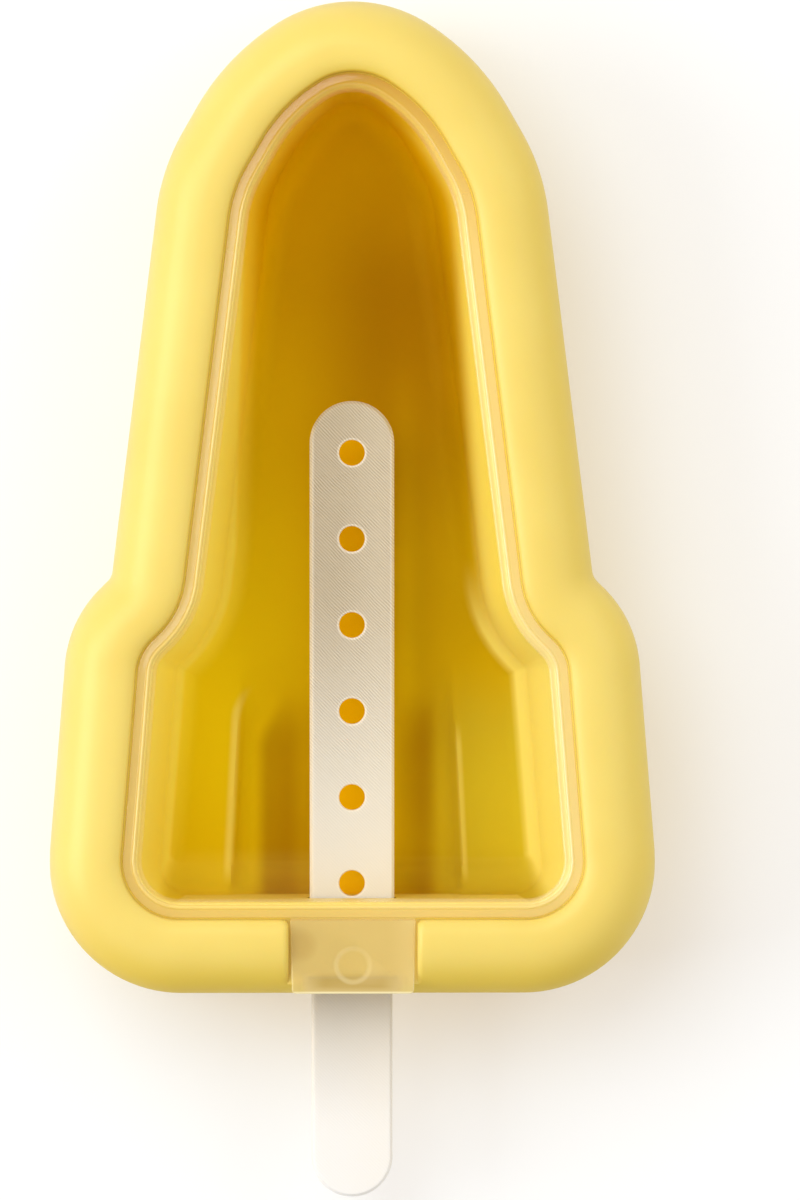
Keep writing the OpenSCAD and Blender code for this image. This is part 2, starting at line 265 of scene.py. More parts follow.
def fill_mesh(name, points, face_tables):
    """A mesh from an array of points, in millimetres from the mouth's front edge, and a list of tables
    of point numbers, one row for each face. Points that fall together are merged."""
    mesh = bpy.data.meshes.new(name)
    corners = np.concatenate([table.ravel() for table in face_tables])
    sizes = np.concatenate([np.full(len(table), table.shape[1]) for table in face_tables])
    mesh.vertices.add(len(points))
    places = (points - [0, MIDDLE, 0]) * MM
    mesh.vertices.foreach_set("co", places.astype(np.float32).ravel())
    mesh.loops.add(len(corners))
    mesh.loops.foreach_set("vertex_index", corners.astype(np.int32))
    mesh.polygons.add(len(sizes))
    mesh.polygons.foreach_set("loop_start", (np.cumsum(sizes) - sizes).astype(np.int32))
    mesh.update(calc_edges=True)
    tidy = bmesh.new()
    tidy.from_mesh(mesh)
    bmesh.ops.remove_doubles(tidy, verts=tidy.verts, dist=0.002 * MM)
    bmesh.ops.dissolve_degenerate(tidy, edges=tidy.edges, dist=0.001 * MM)
    bmesh.ops.recalc_face_normals(tidy, faces=tidy.faces)
    tidy.to_mesh(mesh)
    tidy.free()
    return mesh


def stacked(name, lines):
    """A body from closed lines with equally many points, each end closed by one face."""
    count = len(lines[0])
    caps = [np.arange(count)[None, ::-1], np.arange(count)[None, :] + (len(lines) - 1) * count]
    return fill_mesh(name, np.vstack(lines), [bands(len(lines), count)] + caps)


def combine(piece, other, operation):
    """Adds the other mesh to the piece or cuts it away, and leaves only the result."""
    tool = add_object(other)
    step = piece.modifiers.new("step", "BOOLEAN")
    step.operation = operation
    step.solver = "EXACT"
    step.object = tool
    bpy.context.view_layer.update()
    made = bpy.data.meshes.new_from_object(piece.evaluated_get(bpy.context.evaluated_depsgraph_get()))
    piece.modifiers.clear()
    old = piece.data
    made.name = old.name
    piece.data = made
    bpy.data.meshes.remove(old)
    bpy.data.objects.remove(tool)
    bpy.data.meshes.remove(other)


def finish_piece(piece, body, node, sharp_angle):
    """Shades the piece smooth except at edges sharper than the angle, and ties it to the frame."""
    piece.data.shade_smooth()
    piece.data.set_sharp_from_angle(angle=np.radians(sharp_angle))
    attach(piece, body)
    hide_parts(node)
    triangles = sum(len(p.vertices) - 2 for p in piece.data.polygons)
    print(piece.name, "has", triangles, "triangles")


# %% [markdown]
# ## The tray
#
# A silicone tray is one continuous skin. Follow it with a finger: from the middle of the base over
# the basin's outer wall, round the hollow side of the rim, down inside the outer skin, round the
# foot, up the outer skin, over the soft rolled rim, down the rebate that holds the lid, along the
# ledge, down the cavity wall and out over the floor. That walk is one list of rows: how far each row
# lies outside the mouth, its share of the walls' lean, and its height above the table.

# %% Section of the tray
HEIGHT, CROWN, ROLL = 30.0, 3.2, 8.0
EDGE, EDGE_RADIUS, LEDGE, LEDGE_WIDTH = 29.5, 0.8, 26.9, 2.4
EDGE_START, EDGE_OUT, EDGE_FALL = 124, 0.353, 0.137     # where its arc starts: degrees, millimetres
WALL, SKIN_LEAN, FOOT_RADIUS, SOFT, LEDGE_FILLET = 2.4, 1.4, 0.8, 0.5, 0.3
FLOOR, FLOOR_RADIUS, BASE_RADIUS = 4.9, 4.0, 3.4
UNDER_LEDGE = LEDGE - WALL
SKIN_FOOT = RIM_WIDTH - SKIN_LEAN


def crown_to_edge(steps):
    """Rows from the crown of the rim down to the rounded edge of the mouth: a cubic that leaves the
    crown level and meets the edge's arc at the arc's own slope."""
    out = np.linspace(CROWN, EDGE_OUT, steps + 1)
    fall = (HEIGHT - EDGE + EDGE_FALL) * ((CROWN - out) / (CROWN - EDGE_OUT)) ** 3
    return np.column_stack([out, np.zeros(steps + 1), HEIGHT - fall])


under_rows = np.vstack([
    [(-BASE_RADIUS - SOFT, 1, 0)],
    quarter((-BASE_RADIUS, BASE_RADIUS), BASE_RADIUS, (-90, 0), 7, share=1.0),
    straight((0, 1, BASE_RADIUS), (0, 0, UNDER_LEDGE), 6),
    [(0, 0, UNDER_LEDGE), (WALL / 2, 0, UNDER_LEDGE + WALL / 4)],
    quarter((CROWN, HEIGHT - ROLL), (RIM_WIDTH - CROWN - WALL, ROLL - WALL), (90, 0), 9),
    straight((RIM_WIDTH - WALL, 0, HEIGHT - ROLL), (SKIN_FOOT - WALL, 0, SOFT), 4),
])
UNDER_ROWS = len(under_rows)
outer_rows = np.vstack([
    under_rows,
    quarter((SKIN_FOOT - WALL + SOFT, SOFT), SOFT, (180, 270), 4),
    quarter((SKIN_FOOT - FOOT_RADIUS, FOOT_RADIUS), FOOT_RADIUS, (-90, 0), 5),
    straight((SKIN_FOOT, 0, FOOT_RADIUS), (RIM_WIDTH, 0, HEIGHT - ROLL), 6),
    quarter((CROWN, HEIGHT - ROLL), (RIM_WIDTH - CROWN, ROLL), (0, 90), 24),
    crown_to_edge(8)[1:],
    quarter((EDGE_RADIUS, EDGE - EDGE_RADIUS), EDGE_RADIUS, (EDGE_START, 180), 5)[1:],
    quarter((-LEDGE_FILLET, LEDGE + LEDGE_FILLET), LEDGE_FILLET, (0, -90), 3),
    quarter((-LEDGE_WIDTH + SOFT, LEDGE - SOFT), SOFT, (90, 180), 4),
])
section = np.vstack([
    outer_rows,
    straight((-LEDGE_WIDTH, 0, LEDGE - SOFT), (-LEDGE_WIDTH, 1, FLOOR + FLOOR_RADIUS), 7),
    quarter((-LEDGE_WIDTH - FLOOR_RADIUS, FLOOR + FLOOR_RADIUS), FLOOR_RADIUS, (0, -90), 10, share=1.0),
])
print("rows in the tray's section:", len(section))

# %% [markdown]
# ## What breaks the even section
#
# Three things do. The floor rises a little towards the nose. An arched pocket lies in the floor
# under the stick. And the rim is pressed down in front, where the lid's tab lies. Each is a rule for
# heights: given where a point is in plan, it says how far the surface lies above or below its row.

# %% Heights that change over the plan
NOSE_RISE, RISE_LENGTH = 3.5, 20.0
POCKET_HALF, POCKET_FLARE, FLARE_FROM, POCKET_SHIFT = 16.35, 0.05, 20.0, 0.65
POCKET_DEPTH, POCKET_SLOPE, POCKET_END, POCKET_FADE = 2.6, 3.4, 39.0, 16.0
HAIR = 0.01


def smooth_step(value):
    """0 below 0, 1 above 1, and a cubic in between that starts and ends level."""
    value = np.clip(value, 0, 1)
    return value * value * (3 - 2 * value)


def between(value, start, end):
    """A smooth step from 0 at start to 1 at end. With start above end it falls instead of rising."""
    return smooth_step((value - start) / (end - start))


def nose_rise(y):
    """Rise of the cavity floor, from nothing to its full height at the tip of the nose."""
    return NOSE_RISE * between(y, FRONT_TO_NOSE_TIP - RISE_LENGTH, FRONT_TO_NOSE_TIP)


def pocket_depth(x, y):
    """Depth of the arched pocket: full between its two long slopes, which start with a crisp edge,
    and fading out softly where the arch closes it at the back."""
    inside = POCKET_HALF + POCKET_FLARE * (FLARE_FROM - y) - np.abs(x + POCKET_SHIFT)
    share = np.clip(inside / POCKET_SLOPE, 0, 1)
    crisp = (1 - (1 - share) ** 2) * smooth_step(3 * share)
    return POCKET_DEPTH * crisp * between(y, POCKET_END, POCKET_END - POCKET_FADE)


def press_notch(points, lip_share, wall_share):
    """Lowers the front columns of the rim's rows towards the ledge: on the lip along a quarter circle,
    on the upright wall by its share of the rest, and inside all the way."""
    height = np.maximum(points[:, :, 2] - LEDGE, 0)
    lip = NOTCH_ROUND * (1 - np.sqrt(1 - lip_share ** 2))
    drop = lip + np.maximum(height - NOTCH_ROUND, 0) * wall_share
    drop = np.where(wall_share >= 1, height, np.minimum(drop, height))
    points[:, :, 2] -= drop


def notch_flare(out, x):
    """Sideways shift that rounds the notch's corners in plan: a quarter circle outwards from the
    mouth's edge, full at the notch's wall and gone a few millimetres beside it."""
    into = np.clip(NOTCH_CORNER - np.maximum(out, 0), 0, NOTCH_CORNER)
    shift = NOTCH_CORNER - np.sqrt(NOTCH_CORNER ** 2 - into ** 2)
    beside = (np.abs(x) - NOTCH_HALF - NOTCH_ROUND) / (3 * NOTCH_CORNER)
    near = np.minimum(np.abs(x) / NOTCH_HALF, 1) * (1 - smooth_step(beside))
    return np.sign(x) * shift[:, None] * near


def tray_points():
    """All rows of the tray's section, each carried round its own line parallel to the mouth."""
    points = np.stack([level(mouth_line(out, share), height) for out, share, height in section])
    half_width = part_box("tray")[1][0] / MM
    points[:, :, 0] = np.clip(points[:, :, 0], -half_width, half_width)
    _, lip_share, wall_share = front_columns(CORNERS[0, 0])
    rim = (section[:, 0] > -LEDGE_FILLET - HAIR) & (section[:, 2] > LEDGE - HAIR)
    rim[:UNDER_ROWS] = False
    front = points[rim, SIDE_POINTS:]
    front[:, :, 0] += notch_flare(section[rim, 0], front[:, :, 0])
    press_notch(front, lip_share, wall_share)
    points[rim, SIDE_POINTS:] = front
    under_front = points[:UNDER_ROWS, SIDE_POINTS:]
    over_block = np.abs(under_front[:, :, 0]) < NOTCH_HALF + WALL - 0.1
    under_front[over_block, 2] = np.minimum(under_front[over_block, 2], UNDER_LEDGE)
    wall = points[len(outer_rows):]
    x, y = wall[:, :, 0], wall[:, :, 1]
    wall[:, :, 2] += section[len(outer_rows):, 1, None] * (nose_rise(y) - pocket_depth(x, y))
    return points


def cavity_floor(edge, first_edge, first_inner):
    """Points and faces of the floor inside its edge line, whose points are numbered from first_edge, as
    the floor's are from first_inner. Each row runs from left to right with the front edge's columns
    scaled to the row's width, and a fan of triangles closes the tip of the nose."""
    tip = SIDE_POINTS // 2
    x = edge[1:tip, None, 0] * (edge[None, SIDE_POINTS:, 0] / edge[0, 0])
    y = np.broadcast_to(edge[1:tip, None, 1], x.shape)
    points = np.stack([x, y, FLOOR + nose_rise(y) - pocket_depth(x, y)], -1)
    left = SIDE_POINTS - 1 - np.arange(tip)
    inside = first_inner - first_edge + np.arange(x.size).reshape(x.shape)
    table = np.column_stack([left, np.vstack([np.arange(SIDE_POINTS, LINE_POINTS), inside]), np.arange(tip)])
    table += first_edge
    last = table[-1]
    fan = np.column_stack([last[:-1], last[1:], np.full(len(last) - 1, first_edge + tip)])
    return points.reshape(-1, 3), [quads(table), fan]


def ladder(first, reverse=False):
    """Faces straight across a closed line of the tray or lid: the front strip as one face with all
    the front points, then one face for each pair of steps, and a triangle at the tip."""
    tip = SIDE_POINTS // 2
    step = np.arange(1, tip - 1)
    strip = np.concatenate([np.arange(SIDE_POINTS - 2, LINE_POINTS), [0, 1]])
    rungs = np.column_stack([step, step + 1, SIDE_POINTS - 2 - step, SIDE_POINTS - 1 - step])
    tables = [strip[None, :] + first, rungs + first, np.array([[tip - 1, tip, tip + 1]]) + first]
    return [table[:, ::-1] for table in tables] if reverse else tables


# %% [markdown]
# ## The skin is put together
#
# All rows are carried round the outline, which gives one grid of points, and the cavity's floor is a
# second grid inside the last row. A subdivided cage would be soft by itself, but it would not keep
# the measures of the CAD part, so every point is laid where it belongs.

# %% Build the tray's skin
grid = tray_points()
rows = len(grid)
floor_points, floor_faces = cavity_floor(grid[-1], (rows - 1) * LINE_POINTS, rows * LINE_POINTS)
tray_mesh = fill_mesh("tray_skin", np.vstack([grid.reshape(-1, 3), floor_points]),
                      [bands(rows, LINE_POINTS)] + ladder(0, reverse=True) + floor_faces)
tray = add_object(tray_mesh)
print("tray skin:", len(tray_mesh.vertices), "points")

# %% [markdown]
# ## The slot for the stick
#
# The stick runs through the front of the tray, below the tab. A block of silicone fills the place
# between outer skin and basin there, and the slot is cut through all three. In front of it the outer
# skin is open as far up as the notch. Cutting is what a Boolean is good at, since these edges are
# short and crisp on the real tray too.

# %% Block, slot and recess
STICK_LEVEL = LEDGE - 11.0
STICK_THICK, BLADE_WIDTH, SLOT_GAP, SLOT_RADIUS, RECESS = 2.2, 12.1, 0.3, 0.6, 2.6
SLOT_HALF = BLADE_WIDTH / 2 + SLOT_GAP
SLOT_BOTTOM = STICK_LEVEL - STICK_THICK / 2 - SLOT_GAP
SLOT_TOP = STICK_LEVEL + STICK_THICK / 2 + SLOT_GAP


def prism(name, loop, start, end, axes):
    """A straight body: a closed line of points, given anticlockwise, swept from start to end. axes
    says which of x, y and z the line's two coordinates and the sweep stand for."""
    lines = np.zeros((2, len(loop), 3))
    lines[:, :, axes[:2]] = loop
    lines[:, :, axes[2]] = [[start], [end]]
    return stacked(name, lines)


inner_line = WALL / 2
roll = quarter((CROWN, HEIGHT - ROLL), (RIM_WIDTH - CROWN - inner_line, ROLL - inner_line), (90, 0), 12)
block_line = np.vstack([
    [(inner_line, SLOT_BOTTOM - WALL), (inner_line, LEDGE - SOFT)],
    np.column_stack([-roll[:, 0], np.minimum(roll[:, 2], LEDGE - SOFT)]),
    [(inner_line - RIM_WIDTH, SLOT_BOTTOM - WALL)],
])
block_half = NOTCH_HALF + WALL
combine(tray, prism("slot_block", block_line, -block_half, block_half, (1, 2, 0)), "UNION")

# The slot goes through the whole front, the recess through the outer skin only: name, top, far end
for name, top, far in (("slot_hole", SLOT_TOP, 5.8), ("slot_recess", HEIGHT + 1, RECESS - RIM_WIDTH)):
    corners = both_sides([[SLOT_HALF, SLOT_BOTTOM, SLOT_RADIUS, 5], [SLOT_HALF, top, SLOT_RADIUS, 5]])
    loop = rounded_sides(corners, [0, 0, 0], np.zeros(4))
    combine(tray, prism(name, loop, -RIM_WIDTH - 1, far, (0, 2, 1)), "DIFFERENCE")
finish_piece(tray, "tray", "tray", 38)


# %% [markdown]
# ## Where light gets in
#
# Thin silicone glows where light falls on its far side. In the photograph the hollow's left wall
# glows most, and the pocket under the stick least. True scattering through walls takes a renderer
# very long, so the glow is worked out once for each vertex from where it lies, and stored there as
# a value that the finish reads.

# %% Light in the hollow
WAIST_FROM, BODY_FROM = 38.0, 52.0
STRIP_END = 67.2


def inside_loop(points, loop):
    """True for each point that lies inside the closed loop: a ray to the right crosses its sides an
    odd number of times."""
    x, y = points[:, 0, None], points[:, 1, None]
    after = np.roll(loop, -1, 0)
    spans = (loop[:, 1] > y) != (after[:, 1] > y)
    rise = np.where(after[:, 1] == loop[:, 1], 1, after[:, 1] - loop[:, 1])
    crossing = loop[:, 0] + (y - loop[:, 1]) / rise * (after[:, 0] - loop[:, 0])
    return (spans & (x < crossing)).sum(1) % 2 == 1


def inward(points):
    """Distance in plan from each point to the mouth's line, taken as a chain of short straights."""
    line = mouth_line(0.0)[::4].astype(np.float32)
    run = np.roll(line, -1, 0) - line
    reach = points[:, None, :2].astype(np.float32) - line
    share = np.clip((reach * run).sum(-1) / (run * run).sum(-1), 0, 1)
    reach -= share[:, :, None] * run
    return np.sqrt((reach ** 2).sum(-1).min(1))


def vertex_places(piece):
    """Places of a piece's vertices, in millimetres from the mouth's front edge, and their normals."""
    places = np.empty(len(piece.data.vertices) * 3, np.float32)
    normals = np.empty(len(places), np.float32)
    piece.data.vertices.foreach_get("co", places)
    piece.data.vertices.foreach_get("normal", normals)
    return places.reshape(-1, 3) / MM + [0, MIDDLE, 0], normals.reshape(-1, 3)


def store(piece, name, values):
    """Keeps one value for each of the piece's vertices, under a name."""
    stored = piece.data.attributes.new(name, "FLOAT", "POINT")
    stored.data.foreach_set("value", values.astype(np.float32))


def leaked_light(x, y, inset):
    """Brightness of the cavity's floor, mostly from 0 to 1; inset is the distance from the mouth's
    line. Most light comes in from the left, and least reaches the front and the pocket's sides."""
    near = between(y, 85, 50)
    left = between(x, 6, -20) * (1 - 0.35 * near)
    right_fin = between(x, 2, 12) * between(y, 44, 16)
    left_waist = np.exp(-((y - 40) / 12) ** 2) * between(x, -14, -22)
    nose = between(y, 88, 122)
    by_wall = between(inset, 7.5, 3.5) * between(y - inset, 0.5, 3.5)
    by_nose_wall = between(inset, 9.5, 5.5) * between(x, 0, -6) * between(y, 70, 90)
    front = between(y, 11, 2)
    left_front = between(x, 0, -4) * between(y, 26, 4)
    by_stick = np.exp(-((x - 7.6) / 2.0) ** 2) * near
    arch = 3.0 * between(y, 24, 32)
    left_side = between(x - arch, -14.4, -11.8) * (1 - 0.45 * between(x, -9.5, -6.5))
    right_side = np.exp(-((x - 9.4) / 2.8) ** 4) * (0.8 + 0.2 * between(y, 8, 18))
    pocket = np.where(x < 0, left_side, right_side) * between(pocket_depth(x, y), 0, 2) * between(y, 36, 23)
    return (0.12 + 0.64 * left + 0.26 * near + 0.25 * right_fin + 0.12 * left_waist + 0.75 * nose
            + 0.35 * by_wall + 0.15 * by_nose_wall - 0.2 * front - 0.09 * left_front
            + 0.25 * by_stick - 0.4 * pocket)


def wall_feet(y):
    """Distance from the mouth's line to the foot of the left and of the right wall: both shrink
    beyond the waist, towards the nose."""
    beyond = np.clip(y - 53, 0, 50)
    return 6.8 - 0.095 * beyond, 4.3 - 0.045 * beyond


def deep_share(x, y, z, inset):
    """1 on the cavity's floor and, in the narrow body and in front, also low on its walls, which there take
    the floor's painted shade.
    """
    left_foot, right_foot = wall_feet(y)
    on_left = between(x, -2, -6)
    left = between(inset - left_foot, -0.4, 0.4)
    body = between(y, WAIST_FROM, BODY_FROM)
    right = body * between(inset - right_foot, 0, 2) + (1 - body) * between(inset, 7, 8)
    low = between(z, FLOOR + 0.7, FLOOR + 0.2) * (inset > 9)
    nose_wall = 0.95 * between(y, 104, 116) * between(z, LEDGE, LEDGE - 5)
    front_wall = 0.95 * between(y - inset, 2, 0.5)
    return np.max([right * (1 - on_left) + left * on_left, low, nose_wall, front_wall], axis=0)


def mark_hollow(piece):
    """Stores five values on each vertex: hollow is 1 on the cavity's surface, deep on its deepest part,
    whose colour is painted as the floor's amber light and shade, and under on the strip below the milky
    stick, where light through the stick is painted; glow tells how much light leaks in, painted into the
    floor's colour, and seep how much comes straight through the left wall, painted as a glow."""
    places, normals = vertex_places(piece)
    within = places[:, 2] < LEDGE + 0.1
    within[within] = inside_loop(places[within], mouth_line(-0.1)[::2])
    within &= normals[:, 2] > 0.02
    x, y, z = places[within].T
    inset = inward(places[within])
    below_ledge = z < LEDGE - 2 * SOFT
    left_wall = between(x, -1, -7) * between(inset - wall_feet(y)[0], 2.7, 0.2)
    from_strip = np.hypot(x, np.maximum(y - STRIP_END, 0))
    for name, mark in (("hollow", 1.0),
                       ("deep", deep_share(x, y, z, inset) * below_ledge),
                       ("glow", np.clip(leaked_light(x, y, inset), 0, 1)),
                       ("seep", left_wall * below_ledge * (0.5 + 0.5 * between(y, 5, 45))),
                       ("under", between(from_strip, 6, 1.5))):
        values = np.zeros(len(places))
        values[within] = mark
        store(piece, name, values)
    print("vertices in the cavity:", int(within.sum()))


mark_hollow(tray)

# %% [markdown]
# ## The lid
#
# The lid is moulded from clear plastic. Its rim lies on the ledge, with a fine ridge running round
# it, and its panel lies one step lower, so that the step plugs the mouth. The rows go from the middle
# of the panel's underside out to the edge and back over the top.

# %% Section of the lid
LID_GAP, SEAT_GAP, LID_RIM, PANEL, PANEL_DROP, STEP_LEAN = 0.25, 0.2, 1.6, 1.3, 2.0, 1.1
RIDGE, RIDGE_HALF, RIDGE_HEIGHT = 1.8, 0.45, 0.35
LID_EDGE, PLUG_ROUND = 0.25, 0.2
LID_BOTTOM = LEDGE + SEAT_GAP
LID_TOP = LID_BOTTOM + LID_RIM
PANEL_TOP = LID_TOP - PANEL_DROP
PLUG = LEDGE_WIDTH + LID_GAP
PANEL_EDGE = -PLUG - STEP_LEAN - SOFT


def ridge(steps):
    """Rows over the ridge: one wave of a raised cosine across its width."""
    share = np.linspace(-1, 1, steps + 1)
    return np.column_stack([-RIDGE - RIDGE_HALF * share, np.zeros(steps + 1),
                            LID_TOP + RIDGE_HEIGHT * (1 + np.cos(np.pi * share)) / 2])


lid_section = np.vstack([
    [(PANEL_EDGE - SOFT, 0, PANEL_TOP - PANEL)],
    quarter((PANEL_EDGE, PANEL_TOP - PANEL + SOFT), SOFT, (-90, -30), 3),
    [(-PLUG - PLUG_ROUND / 2, 0, LID_BOTTOM - SOFT)],
    quarter((-PLUG + PLUG_ROUND, LID_BOTTOM - PLUG_ROUND), PLUG_ROUND, (180, 90), 2),
    quarter((-LID_GAP - LID_EDGE, LID_BOTTOM + LID_EDGE), LID_EDGE, (-90, 0), 3),
    quarter((-LID_GAP - LID_EDGE, LID_TOP - LID_EDGE), LID_EDGE, (0, 90), 4),
    ridge(8),
    quarter((-PLUG + PLUG_ROUND / 2, LID_TOP - SOFT), SOFT, (90, 155), 4),
    quarter((PANEL_EDGE, PANEL_TOP + SOFT), SOFT, (-25, -90), 4),
    [(PANEL_EDGE - SOFT, 0, PANEL_TOP)],
])
rows = len(lid_section)
lid = add_object(fill_mesh(
    "lid_plate", np.vstack([level(mouth_line(out), height) for out, _, height in lid_section]),
    [bands(rows, LINE_POINTS)] + ladder(0, reverse=True) + ladder((rows - 1) * LINE_POINTS)))
print("rows in the lid's section:", rows)

# %% [markdown]
# ## The finger tab
#
# The lid is opened by a tab that lies in the notch. It is slightly thinner than the rim, its edges
# are eased, and a shallow round dimple is sunk into its top. Its outline has nothing to do with the
# rim's, so it is made as a body of its own and joined on with a Boolean.

# %% Tab and dimple
EASE = 0.2
TAB_THICK, TAB_HALF, TAB_END_HALF = 1.3, 8.95, 8.65
TAB_TOP = LID_TOP - EASE
DIMPLE_RADIUS, DIMPLE_DEPTH, DIMPLE_Y = 2.7, 0.2, -RIM_WIDTH * 0.58


def stack(name, corners, along, rows):
    """A body of level rows over one rounded loop of corners: each row is the loop moved out by the
    row's first number, at the height of its second one."""
    lines = []
    for out, height in rows:
        lines.append(level(rounded_sides(corners, along, np.full(len(corners), out)), height))
    return stacked(name, lines)


def both_faces(middle, upper):
    """Rows of a body that is alike below and above its middle height: pairs of a distance and a rise
    over the middle, first mirrored and then as they are."""
    lower = [(out, middle - rise) for out, rise in upper[::-1]]
    return lower + [(out, middle + rise) for out, rise in upper]


def lathe(name, centre, profile, steps):
    """A body of revolution about an upright axis: each radius and height of the profile, turned."""
    angle = np.linspace(0, 2 * np.pi, steps, endpoint=False)
    ring = np.column_stack([np.cos(angle), np.sin(angle), np.zeros(steps)])
    return stacked(name, [ring * radius + [*centre, height] for radius, height in profile])


# Half of the tab's corners: x, y, radius, points in the arc. The second one lies inside the rim.
TAB_END = -RIM_WIDTH + 0.25
tab_corners = both_sides([[TAB_END_HALF, TAB_END, 0.6, 7], [TAB_HALF, 1.7, 0.3, 3]])
half = TAB_THICK / 2
eased = [(-EASE * (1 - np.sin(a)), half - EASE * (1 - np.cos(a))) for a in np.radians([90, 60, 30, 0])]
tab_rows = both_faces(TAB_TOP - half, eased + [(-2 * EASE, half)])
combine(lid, stack("tab", tab_corners, [0, 0, 0], tab_rows), "UNION")
# The dimple's wall from its floor up: in from its radius, height over the tab's top
dimple_wall = [(0.9, -DIMPLE_DEPTH), (0.6, -0.17), (0.3, -0.09), (0, 0.02), (0, 0.5)]
dimple = [(DIMPLE_RADIUS - back, TAB_TOP + rise) for back, rise in dimple_wall]
combine(lid, lathe("dimple", (0, DIMPLE_Y), dimple, 64), "DIFFERENCE")
finish_piece(lid, "lid", "lid", 30)
store(lid, "inward", inward(vertex_places(lid)[0]))

# %% [markdown]
# ## The stick
#
# A flat reusable stick, moulded in a milky plastic. The blade is a little wider than the handle and
# has a row of holes in which the ice gets its grip. Both ends are full rounds, and all edges carry a
# narrow bevel, which catches the light as a pale line along both sides.

# %% Stick
STICK_LENGTH, HANDLE_LENGTH, HANDLE_WIDTH, BEVEL = 114.0, 29.6, 11.6, 0.5
HOLES, HOLE_RADIUS, HOLE_PITCH, FIRST_HOLE = 6, 1.85, 12.33, 7.4
TAIL = -RIM_WIDTH - HANDLE_LENGTH
TIP = TAIL + STICK_LENGTH
NARROW = -RIM_WIDTH + RECESS

stick_corners = both_sides([
    [HANDLE_WIDTH / 2, TAIL, HANDLE_WIDTH / 2 - 0.02, 24],
    [HANDLE_WIDTH / 2, NARROW, 1.0, 3],
    [BLADE_WIDTH / 2, NARROW + 1, 1.0, 3],
    [BLADE_WIDTH / 2, TIP, BLADE_WIDTH / 2 - 0.02, 24],
])
half = STICK_THICK / 2
# From the side over the softened bevel to the top's flat: out from the outline, rise over the middle
over_bevel = [(0, half - BEVEL), (-0.08, half - BEVEL + 0.08), (-BEVEL + 0.12, half - 0.03),
              (-BEVEL, half), (-BEVEL - 0.2, half)]
stick_rows = both_faces(STICK_LEVEL, over_bevel)
stick = add_object(stack("stick_blank", stick_corners, [1, 0, 30, 0, 30, 0, 1], stick_rows))
hole_wall = [(HOLE_RADIUS, half - 0.2), (HOLE_RADIUS + 0.12, half - 0.02), (HOLE_RADIUS + 0.6, half + 0.6)]
for number in range(HOLES):
    centre = (0, TIP - FIRST_HOLE - number * HOLE_PITCH)
    combine(stick, lathe("hole", centre, both_faces(STICK_LEVEL, hole_wall), 48), "DIFFERENCE")
finish_piece(stick, "stick", "stick", 24)

# %% [markdown]
# ## Shader arithmetic in plain Python
#
# A finish is a small calculation done at every point of a surface. Wiring it by hand takes dozens of
# nodes, so the two classes below let Python's own operators place them. A Value is one node's output,
# and arithmetic with it adds Math nodes. A Finish is one material, and its node method adds any other
# node: its type, less the ShaderNode that all types begin with, its settings, and its sockets.

# %% Values and finishes
class Value:
    """The output of a node; arithmetic with it adds Math nodes to its material."""

    def __init__(self, finish, socket):
        self.finish = finish
        self.socket = socket

    def maths(self, operation, *inputs):
        return self.finish.node("Math", {"operation": operation}, dict(enumerate(inputs)))

    def __add__(self, other):
        return self.maths("ADD", self, other)

    def __sub__(self, other):
        return self.maths("SUBTRACT", self, other)

    def __rsub__(self, other):
        return self.maths("SUBTRACT", other, self)

    def __mul__(self, other):
        return self.maths("MULTIPLY", self, other)

    __radd__ = __add__
    __rmul__ = __mul__

    def __abs__(self):
        return self.maths("ABSOLUTE", self)

    def at_least(self, other):
        """The greater one of the two."""
        return self.maths("MAXIMUM", self, other)

    def distance(self, other):
        """Distance from the origin to the point whose two coordinates are these values."""
        return self.maths("SQRT", self * self + other * other)

    def between(self, start, end):
        """A smooth step from 0 at start to 1 at end, as the function of that name does in numpy."""
        return self.finish.node("MapRange", {"interpolation_type": "SMOOTHSTEP"},
                                {"Value": self, "From Min": start, "From Max": end})


